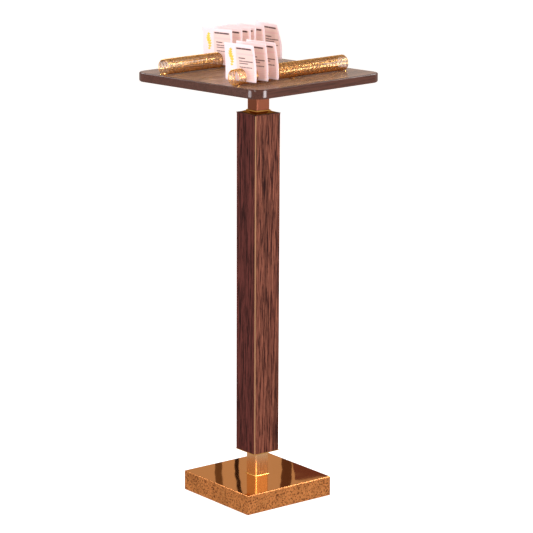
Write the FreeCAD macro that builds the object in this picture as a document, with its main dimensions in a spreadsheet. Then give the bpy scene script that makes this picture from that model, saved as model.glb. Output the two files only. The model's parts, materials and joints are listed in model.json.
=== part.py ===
"""Floor-standing card stand: a brass-clad weighted base, a square walnut column between two
brass necks, and a square walnut top that turns on the column. Two brass coils lie on the top,
front to back, and cards stand between their turns.

Frame: millimetres, +Z up, origin on the floor under the column's axis. The cards face -Y.
Every size that drives the model is a cell of the "Dims" sheet, and the parts read those cells.
"""

import FreeCAD, Part
import math
import os

import Sketcher

DOC = FreeCAD.newDocument("card_stand")

# ---------------------------------------------------------------- driving dimensions

DIMENSIONS = (
    # the turn of everything under the swivel, as the top stands a little round from it
    ("stand_turn", -7, "turn of the base and column against the top, in degrees"),
    # base
    ("pad_side", 290, "felt pad under the base"),
    ("pad_thick", 3, "felt pad thickness"),
    ("base_side", 300, "side of the brass base"),
    ("base_top", 57, "height of the base's top face"),
    ("shell_gap", 1, "gap from the floor to the brass shell's rim"),
    ("shell_sheet", 1.5, "brass sheet thickness"),
    ("shell_round", 3, "radius of the shell's folded edges"),
    ("block_play", 0.4, "slack between the block and the shell's walls, both sides together"),
    ("ballast_side", 270, "side of the steel ballast plate"),
    ("ballast_thick", 16, "thickness of the ballast plate"),
    ("well_width", 60, "diameter of the well that the lower nut sits in"),
    ("ballast_screw_pitch", 220, "spacing of the four ballast screws"),
    ("ballast_screw_shank", 5, "shank diameter of a ballast screw"),
    ("ballast_screw_head", 10, "head diameter of a ballast screw"),
    ("ballast_screw_head_high", 4, "height of a ballast screw's head"),
    ("ballast_screw_length", 38, "length of a ballast screw over all"),
    ("ballast_counterbore", 8, "depth of the counterbores in the ballast's underside"),
    # tie rod and its hardware
    ("rod_width", 10, "diameter of the threaded tie rod"),
    ("rod_foot", 7, "height of the rod's lower end"),
    ("rod_hole", 11, "clearance hole for the rod"),
    ("swivel_bore", 10.1, "bore of the swivel plate on the rod"),
    ("nut_flats", 16, "width across the flats of the rod's nuts"),
    ("nut_high", 8, "height of a nut"),
    ("washer_width", 30, "outer diameter of the rod's washers"),
    ("washer_thick", 2, "thickness of the rod's washers"),
    # necks, column and collar
    ("neck_side", 44.5, "side of the square brass neck tube"),
    ("neck_wall", 2, "wall of the neck tube"),
    ("neck_round", 3, "outer corner radius of the neck tube"),
    ("bead_side", 49, "side of the brass bead round a neck"),
    ("bead_low", 1.8, "height of the bead at the lower neck"),
    ("bead_high", 3, "height of the bead at the upper neck"),
    ("column_side", 88, "side of the column"),
    ("column_foot", 129, "height of the column's lower end"),
    ("column_head", 1107, "height of the column's upper end"),
    ("foot_plate_thick", 2, "brass plate under the column"),
    ("cap_thick", 2, "walnut cap on the column"),
    ("panel_thick", 16, "thickness of a column panel"),
    ("panel_bevel", 2.4, "bevel along the column's corners"),
    ("plug_high", 40, "height of a centring plug inside the column"),
    ("collar_side", 70.5, "side of the collar on the column"),
    ("collar_lip", 1.5, "upright lip of the collar"),
    ("collar_high", 5.5, "height of the collar"),
    # swivel head
    ("neck_cap_thick", 3, "plate that closes the upper neck"),
    ("glide_thick", 1.5, "nylon glide ring"),
    ("glide_width", 40, "diameter of the glide ring"),
    ("swivel_side", 110, "side of the swivel plate"),
    ("swivel_thick", 3, "thickness of the swivel plate"),
    ("swivel_screw_pitch", 84, "spacing of the swivel plate's four screws"),
    ("swivel_screw_shank", 4, "shank diameter of a swivel plate screw"),
    ("swivel_screw_head", 8, "head diameter of a swivel plate screw"),
    ("swivel_screw_length", 16, "length of a swivel plate screw"),
    ("head_well_width", 38, "well in the board's underside, over the upper nut"),
    ("head_well_deep", 17, "depth of that well"),
    # board
    ("board_side", 490, "side of the top board"),
    ("board_top", 1219, "height of the top face"),
    ("board_thick", 26, "thickness of the board"),
    ("board_corner", 38, "corner radius of the board"),
    ("band_thick", 6, "thickness of the edge band"),
    ("band_round_top", 3.5, "upper edge radius of the band"),
    ("band_round_bottom", 5, "lower edge radius of the band"),
    ("laminate_thick", 1, "thickness of the top laminate"),
    # coils, clips and cards
    ("coil_out", 137, "distance of a coil's axis from the middle"),
    ("coil_front", -231, "where the coils start, towards the front"),
    ("coil_turns", 76, "turns in a coil"),
    ("coil_pitch", 5.6, "pitch of a coil"),
    ("coil_radius", 20.5, "radius of a coil at the middle of its wire"),
    ("wire_radius", 1.4, "radius of the coil's wire"),
    ("coil_lift", 0.8, "gap under the coils, where the clips' tongues lie"),
    ("clip_first_turn", 1, "turn that the front clip holds"),
    ("clip_turn_step", 37, "turns from one clip to the next"),
    ("clip_grip", 5, "length of a clip's loop along the wire"),
    ("clip_play", 0.35, "play between a clip's loop and the wire"),
    ("clip_sheet", 0.6, "sheet thickness of a clip"),
    ("clip_reach", 19.5, "reach of a clip's tongue from the coil's axis"),
    ("clip_screw_out", 16, "distance of a clip's screw from the coil's axis"),
    ("clip_screw_shank", 2.4, "shank diameter of a clip's screw"),
    ("clip_screw_head", 6, "head diameter of a clip's screw"),
    ("clip_screw_length", 12, "length of a clip's screw in the board"),
    ("card_wide", 108, "width of a card"),
    ("card_high", 102, "height of a card"),
    ("card_thick", 0.4, "thickness of a card"),
    ("card_lift", 10, "height of a card's lower edge over the board"),
    ("card_skew", 5.2, "turn of a card from square, to follow the gap in the helix, in degrees"),
    ("card_shift", 0.15, "how far a card moves along the coil for each degree that it leans"),
)


def make_sheet():
    """The spreadsheet of driving dimensions: a note, a value and its alias on each row."""
    sheet = DOC.addObject("Spreadsheet::Sheet", "Dims")
    for row, (alias, value, note) in enumerate(DIMENSIONS, start=1):
        sheet.set(f"A{row}", note)
        sheet.set(f"B{row}", str(value))
        sheet.setAlias(f"B{row}", alias)
    DOC.recompute()
    return sheet


SHEET = make_sheet()
NODES = []


def dim(alias):
    """A driving dimension's value, for geometry that is worked out in this file."""
    return float(SHEET.get(alias))


def cells(formula):
    """Turns the aliases in a formula into references to the sheet."""
    words = {alias for alias, _value, _note in DIMENSIONS}
    text, word = "", ""
    for letter in formula + " ":
        if letter.isalnum() or letter == "_":
            word += letter
            continue
        text += f"Dims.{word}" if word in words else word
        text += letter
        word = ""
    return text.strip()


def bind(thing, prop, formula):
    """Binds a property to a formula of the sheet's aliases."""
    thing.setExpression(prop, cells(str(formula)))


def raise_to(thing, height):
    """Binds a sub-part's height over the floor."""
    bind(thing, "Placement.Base.z", f"({height}) * 1 mm")


# ---------------------------------------------------------------- sketches and features


def new_body(label):
    """A PartDesign body that becomes the node of that name."""
    body = DOC.addObject("PartDesign::Body", label)
    body.Label = label
    NODES.append(body)
    return body


def plane(body, role):
    """One of a body's own origin planes or axes."""
    return next(item for item in body.Origin.OriginFeatures if item.Role == role)


def new_sketch(body, role="XY_Plane"):
    """An empty sketch on one of the body's origin planes."""
    sketch = body.newObject("Sketcher::SketchObject", body.Label + "_sketch")
    sketch.AttachmentSupport = [(plane(body, role), "")]
    sketch.MapMode = "FlatFace"
    return sketch


def rule(sketch, name, formula, *args):
    """Adds a dimensional constraint and binds it to the sheet."""
    index = sketch.addConstraint(Sketcher.Constraint(*args))
    sketch.renameConstraint(index, name)
    bind(sketch, "Constraints." + name, formula)


def add_outline(sketch, points, name):
    """A closed outline whose corners are pairs of formulas, each bound along both axes."""
    first = sketch.GeometryCount
    rough = [
        FreeCAD.Vector(*(sketch.evalExpression(cells(axis)) for axis in point))
        for point in points
    ]
    count = len(rough)
    for i in range(count):
        sketch.addGeometry(Part.LineSegment(rough[i], rough[(i + 1) % count]))
    for i in range(count):
        here, after = first + i, first + (i + 1) % count
        sketch.addConstraint(Sketcher.Constraint("Coincident", here, 2, after, 1))
    for i, (across, along) in enumerate(points):
        corner = (-1, 1, first + i, 1)
        rule(sketch, f"{name}x{i}", across, "DistanceX", *corner, rough[i].x)
        rule(sketch, f"{name}y{i}", along, "DistanceY", *corner, rough[i].y)


def add_square(sketch, side, name="square"):
    """A square centred on the sketch's origin."""
    low, high = f"-({side}) / 2", f"({side}) / 2"
    add_outline(sketch, ((low, low), (high, low), (high, high), (low, high)), name)


def add_rounded_square(sketch, side, radius, name):
    """A square with rounded corners, centred on the sketch's origin."""
    first = sketch.GeometryCount
    half = sketch.evalExpression(cells(f"({side}) / 2"))
    turn = sketch.evalExpression(cells(radius))
    reach = half - turn
    for i in range(4):
        spin = FreeCAD.Rotation(FreeCAD.Vector(0, 0, 1), 90 * i)
        ends = [spin.multVec(FreeCAD.Vector(x, -half, 0)) for x in (-reach, reach)]
        middle = spin.multVec(FreeCAD.Vector(reach, -reach, 0))
        round_off = Part.Circle(middle, FreeCAD.Vector(0, 0, 1), turn)
        start = math.radians(90 * i - 90)
        sketch.addGeometry(Part.LineSegment(*ends))
        sketch.addGeometry(Part.ArcOfCircle(round_off, start, start + math.pi / 2))
    for i in range(4):
        line, arc = first + 2 * i, first + 2 * i + 1
        after = first + (2 * i + 2) % 8
        sketch.addConstraint(Sketcher.Constraint("Tangent", line, 2, arc, 1))
        sketch.addConstraint(Sketcher.Constraint("Tangent", arc, 2, after, 1))
        if i:
            sketch.addConstraint(Sketcher.Constraint("Equal", first + 1, arc))
    rule(sketch, name + "_round", radius, "Radius", first + 1, turn)
    for i, (way, sign) in enumerate((("Y", -1), ("X", 1), ("Y", 1), ("X", -1))):
        place = ("Distance" + way, -1, 1, first + 2 * i, 1, sign * half)
        rule(sketch, f"{name}_side{i}", f"{sign} * ({side}) / 2", *place)
    for i, way in ((0, "Horizontal"), (1, "Vertical"), (2, "Horizontal"), (3, "Vertical")):
        sketch.addConstraint(Sketcher.Constraint(way, first + 2 * i))


def add_hole(sketch, width, across="0", along="0", name="hole"):
    """A circle of a bound diameter at a bound place."""
    centre = [sketch.evalExpression(cells(axis)) for axis in (across, along)]
    radius = sketch.evalExpression(cells(width)) / 2
    index = sketch.addGeometry(
        Part.Circle(FreeCAD.Vector(*centre), FreeCAD.Vector(0, 0, 1), radius)
    )
    rule(sketch, name + "_width", width, "Diameter", index, 2 * radius)
    if across == along == "0":
        sketch.addConstraint(Sketcher.Constraint("Coincident", index, 3, -1, 1))
        return
    middle = (-1, 1, index, 3)
    rule(sketch, name + "_x", across, "DistanceX", *middle, centre[0])
    rule(sketch, name + "_y", along, "DistanceY", *middle, centre[1])


def add_four_holes(sketch, width, pitch, name):
    """Four equal holes on the corners of a square."""
    for i, (sx, sy) in enumerate(((-1, -1), (1, -1), (1, 1), (-1, 1))):
        add_hole(sketch, width, f"{sx} * {pitch} / 2", f"{sy} * {pitch} / 2", f"{name}{i}")


def pad(body, sketch, length, centred=False):
    """Extrudes a sketch by a bound length."""
    feature = body.newObject("PartDesign::Pad", body.Label + "_pad")
    feature.Profile = sketch
    feature.Midplane = centred
    bind(feature, "Length", length)
    DOC.recompute()
    return feature


def pocket_up(body, sketch, depth):
    """Cuts a sketch upwards into the body, and checks that it took something away."""
    before = body.Shape.Volume
    feature = body.newObject("PartDesign::Pocket", body.Label + "_pocket")
    feature.Profile = sketch
    feature.Reversed = True
    bind(feature, "Length", depth)
    DOC.recompute()
    if body.Shape.Volume > before - 1:
        raise ValueError(f"{body.Label}: the pocket cuts nothing")
    return feature


def edges_where(shape, test):
    """Names of the edges whose two end points both pass a test."""
    names = []
    for i, edge in enumerate(shape.Edges, start=1):
        if all(test(vertex.Point) for vertex in edge.Vertexes):
            names.append(f"Edge{i}")
    return names


def upright_edges(shape, beyond=0.0, within=1e6):
    """Names of the upright edges whose distance across X lies between two limits."""
    names = []
    for i, edge in enumerate(shape.Edges, start=1):
        low, high = edge.Vertexes[0].Point, edge.Vertexes[-1].Point
        flat = FreeCAD.Vector(low.x - high.x, low.y - high.y, 0)
        if flat.Length < 1e-6 and abs(low.z - high.z) > 1e-6 and beyond < abs(low.x) < within:
            names.append(f"Edge{i}")
    return names


def soften(body, names, size, kind="Fillet"):
    """Rounds or bevels some edges of the body's newest feature."""
    base = body.Tip
    feature = body.newObject("PartDesign::" + kind, body.Label + "_" + kind.lower())
    feature.Base = (base, names)
    bind(feature, "Radius" if kind == "Fillet" else "Size", size)
    DOC.recompute()
    return feature


def repeat_square(body, features):
    """Repeats features four times round the body's Z axis."""
    pattern = body.newObject("PartDesign::PolarPattern", body.Label + "_pattern")
    pattern.Originals = features
    pattern.Axis = (plane(body, "Z_Axis"), [""])
    pattern.Angle = 360
    pattern.Occurrences = 4
    body.Tip = pattern
    DOC.recompute()


def repeat_along(body, features):
    """Repeats features at the three clips of a coil, along Y."""
    pattern = body.newObject("PartDesign::LinearPattern", body.Label + "_pattern")
    pattern.Originals = features
    pattern.Direction = (plane(body, "Y_Axis"), [""])
    bind(pattern, "Length", "2 * clip_turn_step * coil_pitch")
    pattern.Occurrences = 3
    body.Tip = pattern
    DOC.recompute()


def square_plate(label, side, thick, height, hole=None):
    """A square plate with an optional hole in the middle."""
    body = new_body(label)
    sketch = new_sketch(body)
    add_square(sketch, side)
    if hole:
        add_hole(sketch, hole)
    pad(body, sketch, thick)
    raise_to(body, height)
    return body


def square_ring(label, side, hollow, thick, height):
    """A square ring or tube, from its outer side and its inner side."""
    body = new_body(label)
    sketch = new_sketch(body)
    add_square(sketch, side, "outer")
    add_square(sketch, hollow, "inner")
    pad(body, sketch, thick)
    raise_to(body, height)
    return body


def round_ring(label, width, bore, thick, height):
    """A washer, cut from two Part cylinders."""
    disc = DOC.addObject("Part::Cylinder", label + "_disc")
    drill = DOC.addObject("Part::Cylinder", label + "_drill")
    for solid, size in ((disc, width), (drill, bore)):
        bind(solid, "Radius", f"({size}) / 2")
        bind(solid, "Height", thick)
    ring = DOC.addObject("Part::Cut", label)
    ring.Base, ring.Tool = disc, drill
    raise_to(ring, height)
    NODES.append(ring)
    return ring


def hex_nut(label, height):
    """A hexagon nut with both rims turned back, bored for the tie rod."""
    prism = DOC.addObject("Part::Prism", label + "_hexagon")
    prism.Polygon = 6
    bind(prism, "Circumradius", "nut_flats / 2 / cos(30 deg)")
    bind(prism, "Height", "nut_high")
    turned = DOC.addObject("Part::Cylinder", label + "_turning")
    bind(turned, "Radius", "nut_flats * 0.56")
    bind(turned, "Height", "nut_high")
    eased = DOC.addObject("Part::Common", label + "_eased")
    eased.Base, eased.Tool = prism, turned
    drill = DOC.addObject("Part::Cylinder", label + "_drill")
    bind(drill, "Radius", "rod_width / 2")
    bind(drill, "Height", "nut_high")
    nut = DOC.addObject("Part::Cut", label)
    nut.Base, nut.Tool = eased, drill
    raise_to(nut, height)
    NODES.append(nut)


# ---------------------------------------------------------------- base

# The diagonal of a square of side 1, for the screws that stand on a square's corners.
DIAGONAL = str(math.sqrt(2))
BALLAST_FOOT = "pad_thick"
BLOCK_FOOT = "(pad_thick + ballast_thick)"
BLOCK_SIDE = "(base_side - 2 * shell_sheet - block_play)"


def make_base():
    """Felt pad, steel ballast, wooden block and the brass shell folded over them."""
    square_plate("floor_pad", "pad_side", "pad_thick", "0", "well_width")

    ballast = new_body("ballast_plate")
    sketch = new_sketch(ballast)
    add_square(sketch, "ballast_side")
    add_hole(sketch, "well_width")
    add_four_holes(sketch, "ballast_screw_shank + 0.5", "ballast_screw_pitch", "screw")
    pad(ballast, sketch, "ballast_thick")
    seats = new_sketch(ballast)
    add_four_holes(seats, "ballast_screw_head + 0.6", "ballast_screw_pitch", "seat")
    pocket_up(ballast, seats, "ballast_counterbore")
    raise_to(ballast, BALLAST_FOOT)

    block = new_body("base_block")
    sketch = new_sketch(block)
    add_square(sketch, BLOCK_SIDE)
    add_hole(sketch, "rod_hole")
    pad(block, sketch, f"base_top - shell_sheet - {BLOCK_FOOT}")
    pilots = new_sketch(block)
    add_four_holes(pilots, "ballast_screw_shank + 0.1", "ballast_screw_pitch", "pilot")
    pocket_up(block, pilots, "ballast_screw_length - 10")
    raise_to(block, BLOCK_FOOT)

    shell = new_body("base_shell")
    sketch = new_sketch(shell)
    add_square(sketch, "base_side")
    add_hole(sketch, "rod_hole")
    pad(shell, sketch, "base_top - shell_gap")
    hollow = new_sketch(shell)
    add_square(hollow, "base_side - 2 * shell_sheet")
    pocket_up(shell, hollow, "base_top - shell_gap - shell_sheet")
    top = dim("base_top") - dim("shell_gap")
    rim = dim("base_side") / 2 - 0.01
    folds = upright_edges(shell.Shape, beyond=rim)
    folds += edges_where(
        shell.Shape, lambda p: p.z > top - 0.01 and max(abs(p.x), abs(p.y)) > rim
    )
    soften(shell, folds, "shell_round")
    raise_to(shell, "shell_gap")

    make_ballast_screws()


def make_ballast_screws():
    """Four cheese-headed screws, up through the ballast into the block."""
    body = new_body("ballast_screws")
    sketch = new_sketch(body, "XZ_Plane")
    axis = f"ballast_screw_pitch / 2 * {DIAGONAL}"
    head, shank = "ballast_screw_head / 2", "ballast_screw_shank / 2"
    outline = (
        (axis, "0"),
        (f"{axis} + {head} - 0.6", "0"),
        (f"{axis} + {head}", "0.6"),
        (f"{axis} + {head}", "ballast_screw_head_high"),
        (f"{axis} + {shank}", "ballast_screw_head_high"),
        (f"{axis} + {shank}", "ballast_screw_length - 4"),
        (axis, "ballast_screw_length"),
    )
    add_outline(sketch, outline, "screw")
    spin = revolve_about_last_side(body, sketch)
    repeat_square(body, [spin])
    body.Placement.Rotation = FreeCAD.Rotation(FreeCAD.Vector(0, 0, 1), 45)
    raise_to(body, f"{BALLAST_FOOT} + ballast_counterbore - ballast_screw_head_high")


def revolve_about_last_side(body, sketch):
    """Turns an outline about its own last side, which is the piece's axis."""
    feature = body.newObject("PartDesign::Revolution", body.Label + "_turned")
    feature.Profile = sketch
    feature.ReferenceAxis = (sketch, [f"Edge{sketch.GeometryCount}"])
    feature.Angle = 360
    DOC.recompute()
    return feature


# ---------------------------------------------------------------- tie rod and its hardware

WASHER_FOOT = f"({BLOCK_FOOT} - washer_thick)"
SWIVEL_FOOT = "(board_top - board_thick - swivel_thick)"
GLIDE_FOOT = f"({SWIVEL_FOOT} - glide_thick)"
NECK_CAP_FOOT = f"({GLIDE_FOOT} - neck_cap_thick)"
HEAD_WASHER_FOOT = f"({SWIVEL_FOOT} + swivel_thick)"
HEAD_NUT_FOOT = f"({HEAD_WASHER_FOOT} + washer_thick)"


def make_tie_rod():
    """The threaded rod that clamps the stand together, with a nut and washer at each end."""
    rod = DOC.addObject("Part::Cylinder", "tie_rod_bar")
    bind(rod, "Radius", "rod_width / 2")
    bind(rod, "Height", f"{HEAD_NUT_FOOT} + nut_high + 2 - rod_foot")
    DOC.recompute()
    eased = DOC.addObject("Part::Chamfer", "tie_rod")
    eased.Base = rod
    rims = [i for i, e in enumerate(rod.Shape.Edges, start=1) if e.Closed and len(e.Vertexes) == 1]
    eased.Edges = [(i, 1.0, 1.0) for i in rims]
    raise_to(eased, "rod_foot")
    NODES.append(eased)
    round_ring("lower_washer", "washer_width", "rod_hole", "washer_thick", WASHER_FOOT)
    hex_nut("lower_nut", f"{WASHER_FOOT} - nut_high")
    round_ring("upper_washer", "washer_width", "rod_hole", "washer_thick", HEAD_WASHER_FOOT)
    hex_nut("upper_nut", HEAD_NUT_FOOT)


# ---------------------------------------------------------------- necks, column and collar


def make_neck(label, foot, head):
    """A square brass tube with rounded corners."""
    body = square_ring(
        label, "neck_side", "neck_side - 2 * neck_wall", f"({head}) - ({foot})", foot
    )
    outer = dim("neck_side") / 2 - 0.01
    soften(body, upright_edges(body.Shape, beyond=outer), "neck_round")


def make_bead(label, height, foot):
    """The bevelled brass bead that frames a neck where it stands on a plate."""
    body = square_ring(label, "bead_side", "neck_side + 0.1", height, foot)
    high = body.Tip.Shape.BoundBox.ZMax - 0.01
    outer = dim("bead_side") / 2 - 0.01
    rim = edges_where(
        body.Tip.Shape, lambda p: p.z > high and max(abs(p.x), abs(p.y)) > outer
    )
    soften(body, rim, "1.1", "Chamfer")


def make_panel(label, turn):
    """One mitred board of the column, bevelled where it meets its neighbours."""
    body = new_body(label)
    sketch = new_sketch(body)
    half, inner = "column_side / 2", "(column_side / 2 - panel_thick)"
    mitre = f"({half} - panel_bevel / 2)"
    face = f"({half} - panel_bevel)"
    outline = (
        (f"-{face}", f"-{half}"),
        (face, f"-{half}"),
        (mitre, f"-{mitre}"),
        (inner, f"-{inner}"),
        (f"-{inner}", f"-{inner}"),
        (f"-{mitre}", f"-{mitre}"),
    )
    add_outline(sketch, outline, "panel")
    pad(body, sketch, "column_head - cap_thick - column_foot - foot_plate_thick")
    body.Placement.Rotation = FreeCAD.Rotation(FreeCAD.Vector(0, 0, 1), turn)
    raise_to(body, "column_foot + foot_plate_thick")


def make_collar():
    """The low brass pyramid on the column's cap, with an upright lip."""
    lip = DOC.addObject("Part::Box", "collar_lip_plate")
    for side in ("Length", "Width"):
        bind(lip, side, "collar_side")
    bind(lip, "Height", "collar_lip")
    bind(lip, "Placement.Base.x", "-collar_side / 2 * 1 mm")
    bind(lip, "Placement.Base.y", "-collar_side / 2 * 1 mm")
    slope = DOC.addObject("Part::Wedge", "collar_slope")
    # A wedge grows along its own Y, so the slope is built lying down and turned upright.
    for low, high, size in (
        ("Xmin", "Xmax", "collar_side"),
        ("Zmin", "Zmax", "collar_side"),
        ("X2min", "X2max", "bead_side + 1"),
        ("Z2min", "Z2max", "bead_side + 1"),
    ):
        bind(slope, low, f"-({size}) / 2")
        bind(slope, high, f"({size}) / 2")
    bind(slope, "Ymin", "collar_lip")
    bind(slope, "Ymax", "collar_high")
    slope.Placement.Rotation = FreeCAD.Rotation(FreeCAD.Vector(1, 0, 0), 90)
    body = DOC.addObject("Part::Fuse", "collar_blank")
    body.Base, body.Tool = lip, slope
    drill = DOC.addObject("Part::Cylinder", "collar_drill")
    bind(drill, "Radius", "rod_hole / 2")
    bind(drill, "Height", "collar_high + 1")
    collar = DOC.addObject("Part::Cut", "collar")
    collar.Base, collar.Tool = body, drill
    raise_to(collar, "column_head")
    NODES.append(collar)


def make_column():
    """Both necks, the column between them and the collar on it."""
    make_neck("lower_neck", "base_top", "column_foot")
    make_bead("lower_bead", "bead_low", "base_top")
    square_plate("foot_plate", "column_side", "foot_plate_thick", "column_foot", "rod_hole")
    for label, turn in (("front", 0), ("right", 90), ("back", 180), ("left", 270)):
        make_panel("column_panel_" + label, turn)
    plug = "column_side - 2 * panel_thick - 0.2"
    plug_foot = "column_foot + foot_plate_thick"
    square_plate("lower_plug", plug, "plug_high", plug_foot, "rod_hole")
    plug_foot = "column_head - cap_thick - plug_high"
    square_plate("upper_plug", plug, "plug_high", plug_foot, "rod_hole")
    square_plate("column_cap", "column_side", "cap_thick", "column_head - cap_thick", "rod_hole")
    make_collar()
    neck_foot = "(column_head + collar_high)"
    make_neck("upper_neck", neck_foot, NECK_CAP_FOOT)
    make_bead("upper_bead", "bead_high", neck_foot)


def turn_stand():
    """Turns the pieces made so far, as one, about the column's axis."""
    spin = FreeCAD.Placement(
        FreeCAD.Vector(), FreeCAD.Rotation(FreeCAD.Vector(0, 0, 1), dim("stand_turn"))
    )
    for node in NODES:
        node.Placement = spin.multiply(node.Placement)


# ---------------------------------------------------------------- swivel head


def make_bearing():
    """The neck's cap and the nylon glide ring on it, which carry the top."""
    cap = square_plate("neck_cap", "neck_side", "neck_cap_thick", NECK_CAP_FOOT, "rod_hole")
    soften(cap, upright_edges(cap.Shape, beyond=dim("neck_side") / 2 - 0.01), "neck_round")
    round_ring("glide_ring", "glide_width", "rod_hole", "glide_thick", GLIDE_FOOT)


def make_swivel_plate():
    """The plate that turns on the glide ring with the board, and its screws."""
    plate = new_body("swivel_plate")
    sketch = new_sketch(plate)
    add_square(sketch, "swivel_side")
    add_hole(sketch, "swivel_bore")
    add_four_holes(sketch, "swivel_screw_shank + 0.5", "swivel_screw_pitch", "screw")
    pad(plate, sketch, "swivel_thick")
    corners = upright_edges(plate.Shape, beyond=dim("swivel_side") / 2 - 0.01)
    soften(plate, corners, "12")
    raise_to(plate, SWIVEL_FOOT)

    screws = new_body("swivel_screws")
    profile = new_sketch(screws, "XZ_Plane")
    axis = f"swivel_screw_pitch / 2 * {DIAGONAL}"
    head, shank = "swivel_screw_head / 2", "swivel_screw_shank / 2"
    outline = (
        (axis, "-2.6"),
        (f"{axis} + {head} - 1.4", "-2.6"),
        (f"{axis} + {head}", "-1.4"),
        (f"{axis} + {head}", "0"),
        (f"{axis} + {shank}", "0"),
        (f"{axis} + {shank}", "swivel_screw_length - 3"),
        (axis, "swivel_screw_length"),
    )
    add_outline(profile, outline, "screw")
    repeat_square(screws, [revolve_about_last_side(screws, profile)])
    screws.Placement.Rotation = FreeCAD.Rotation(FreeCAD.Vector(0, 0, 1), 45)
    raise_to(screws, SWIVEL_FOOT)


# ---------------------------------------------------------------- board

CORE_SIDE = "(board_side - 2 * band_thick)"
CORE_FOOT = "(board_top - board_thick)"


def clip_places():
    """Formulas for the six clip screws on the board: across, along."""
    for side in (-1, 1):
        for step in range(3):
            turn = f"(clip_first_turn + {step} * clip_turn_step)"
            across = f"{side} * (coil_out + clip_screw_out)"
            yield across, f"coil_front + {turn} * coil_pitch"


def board_layer(label, thick, foot):
    """One layer of the board inside its edge band, with the clip screws' holes through it."""
    body = new_body(label)
    sketch = new_sketch(body)
    add_square(sketch, CORE_SIDE)
    for i, (across, along) in enumerate(clip_places()):
        add_hole(sketch, "clip_screw_shank + 0.1", across, along, f"clip{i}")
    pad(body, sketch, thick)
    side = dim("board_side") / 2 - dim("band_thick") - 0.01
    soften(body, upright_edges(body.Shape, beyond=side), "board_corner - band_thick")
    raise_to(body, foot)
    return body


def make_board():
    """Core, top laminate and the rounded edge band."""
    core = board_layer("board_core", "board_thick - laminate_thick", CORE_FOOT)
    well = new_sketch(core)
    add_hole(well, "head_well_width")
    pocket_up(core, well, "head_well_deep")
    pilots = new_sketch(core)
    add_four_holes(pilots, "swivel_screw_shank + 0.1", "swivel_screw_pitch", "pilot")
    pocket_up(core, pilots, "swivel_screw_length")
    board_layer("top_laminate", "laminate_thick", "board_top - laminate_thick")

    band = new_body("edge_band")
    sketch = new_sketch(band)
    add_rounded_square(sketch, "board_side", "board_corner", "outer")
    add_rounded_square(sketch, CORE_SIDE, "board_corner - band_thick", "inner")
    pad(band, sketch, "board_thick")
    outer = dim("board_side") / 2 - 0.01
    reach = dim("board_side") / 2 - dim("board_corner")
    for level, radius in ((dim("board_thick"), "band_round_top"), (0.0, "band_round_bottom")):
        rim = edges_where(
            band.Tip.Shape,
            lambda p: abs(p.z - level) < 0.01 and on_rim(p, outer, reach),
        )
        soften(band, rim, radius)
    raise_to(band, CORE_FOOT)


def on_rim(point, outer, reach):
    """Whether a corner point of the band lies on its outer outline."""
    far, near = sorted((abs(point.x), abs(point.y)), reverse=True)
    return far > outer and near < reach + 0.1


# ---------------------------------------------------------------- coils and their clips


def make_coil(label, side):
    """A brass coil lying front to back; each turn crosses its lowest point at its start."""
    spine = DOC.addObject("Part::Helix", label + "_spine")
    spine.SegmentLength = 1
    sizes = (("Pitch", "coil_pitch"), ("Radius", "coil_radius"))
    for prop, formula in (*sizes, ("Height", "coil_turns * coil_pitch")):
        # The value goes in first, because a helix that is set halfway has hundreds of turns.
        setattr(spine, prop, spine.evalExpression(cells(formula)))
        bind(spine, prop, formula)
    wire = DOC.addObject("Part::Circle", label + "_section")
    bind(wire, "Radius", "wire_radius")
    bind(wire, "Placement.Base.x", "coil_radius * 1 mm")
    wire.Placement.Rotation = FreeCAD.Rotation(FreeCAD.Vector(1, 0, 0), 90)
    coil = DOC.addObject("Part::Sweep", label)
    coil.Sections = [wire]
    coil.Spine = spine
    coil.Solid = True
    coil.Frenet = True
    # The helix climbs its own Z from (radius, 0): that start goes to the bottom, and Z to +Y.
    lay_down = FreeCAD.Rotation(FreeCAD.Vector(1, 0, 0), -90)
    coil.Placement.Rotation = lay_down.multiply(FreeCAD.Rotation(FreeCAD.Vector(0, 0, 1), 90))
    bind(coil, "Placement.Base.x", f"{side} * coil_out * 1 mm")
    bind(coil, "Placement.Base.y", "coil_front * 1 mm")
    raise_to(coil, "board_top + coil_lift + wire_radius + coil_radius")
    NODES.append(coil)
    return coil


def make_clips(label, side):
    """Three brass clips: a loop round the lowest wire and a tongue out to a screw."""
    body = new_body(label)
    loop = new_sketch(body, "YZ_Plane")
    wall = "(wire_radius + clip_play + clip_sheet)"
    middle = "(coil_lift + wire_radius)"
    start = "clip_first_turn * coil_pitch"
    foot, crown = "0", f"({middle} + {wall})"
    shoulder = f"({middle} + wire_radius * 0.6)"
    outline = (
        (f"{start} - {wall}", foot),
        (f"{start} + {wall}", foot),
        (f"{start} + {wall}", shoulder),
        (f"{start} + {wall} * 0.5", crown),
        (f"{start} - {wall} * 0.5", crown),
        (f"{start} - {wall}", shoulder),
    )
    add_outline(loop, outline, "loop")
    add_hole(loop, "2 * (wire_radius + clip_play)", start, middle, "wire")
    grip = pad(body, loop, "clip_grip", centred=True)
    tongue = new_sketch(body)
    width = f"{wall}"
    near, far = f"{side} * 1", f"{side} * clip_reach"
    outline = (
        (near, f"{start} - {width}"),
        (far, f"{start} - {width}"),
        (far, f"{start} + {width}"),
        (near, f"{start} + {width}"),
    )
    add_outline(tongue, outline, "tongue")
    place = f"{side} * clip_screw_out"
    add_hole(tongue, "clip_screw_shank + 0.1", place, start, "screw")
    flat = pad(body, tongue, "clip_sheet")
    repeat_along(body, [grip, flat])
    bind(body, "Placement.Base.x", f"{side} * coil_out * 1 mm")
    bind(body, "Placement.Base.y", "coil_front * 1 mm")
    raise_to(body, "board_top")


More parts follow.
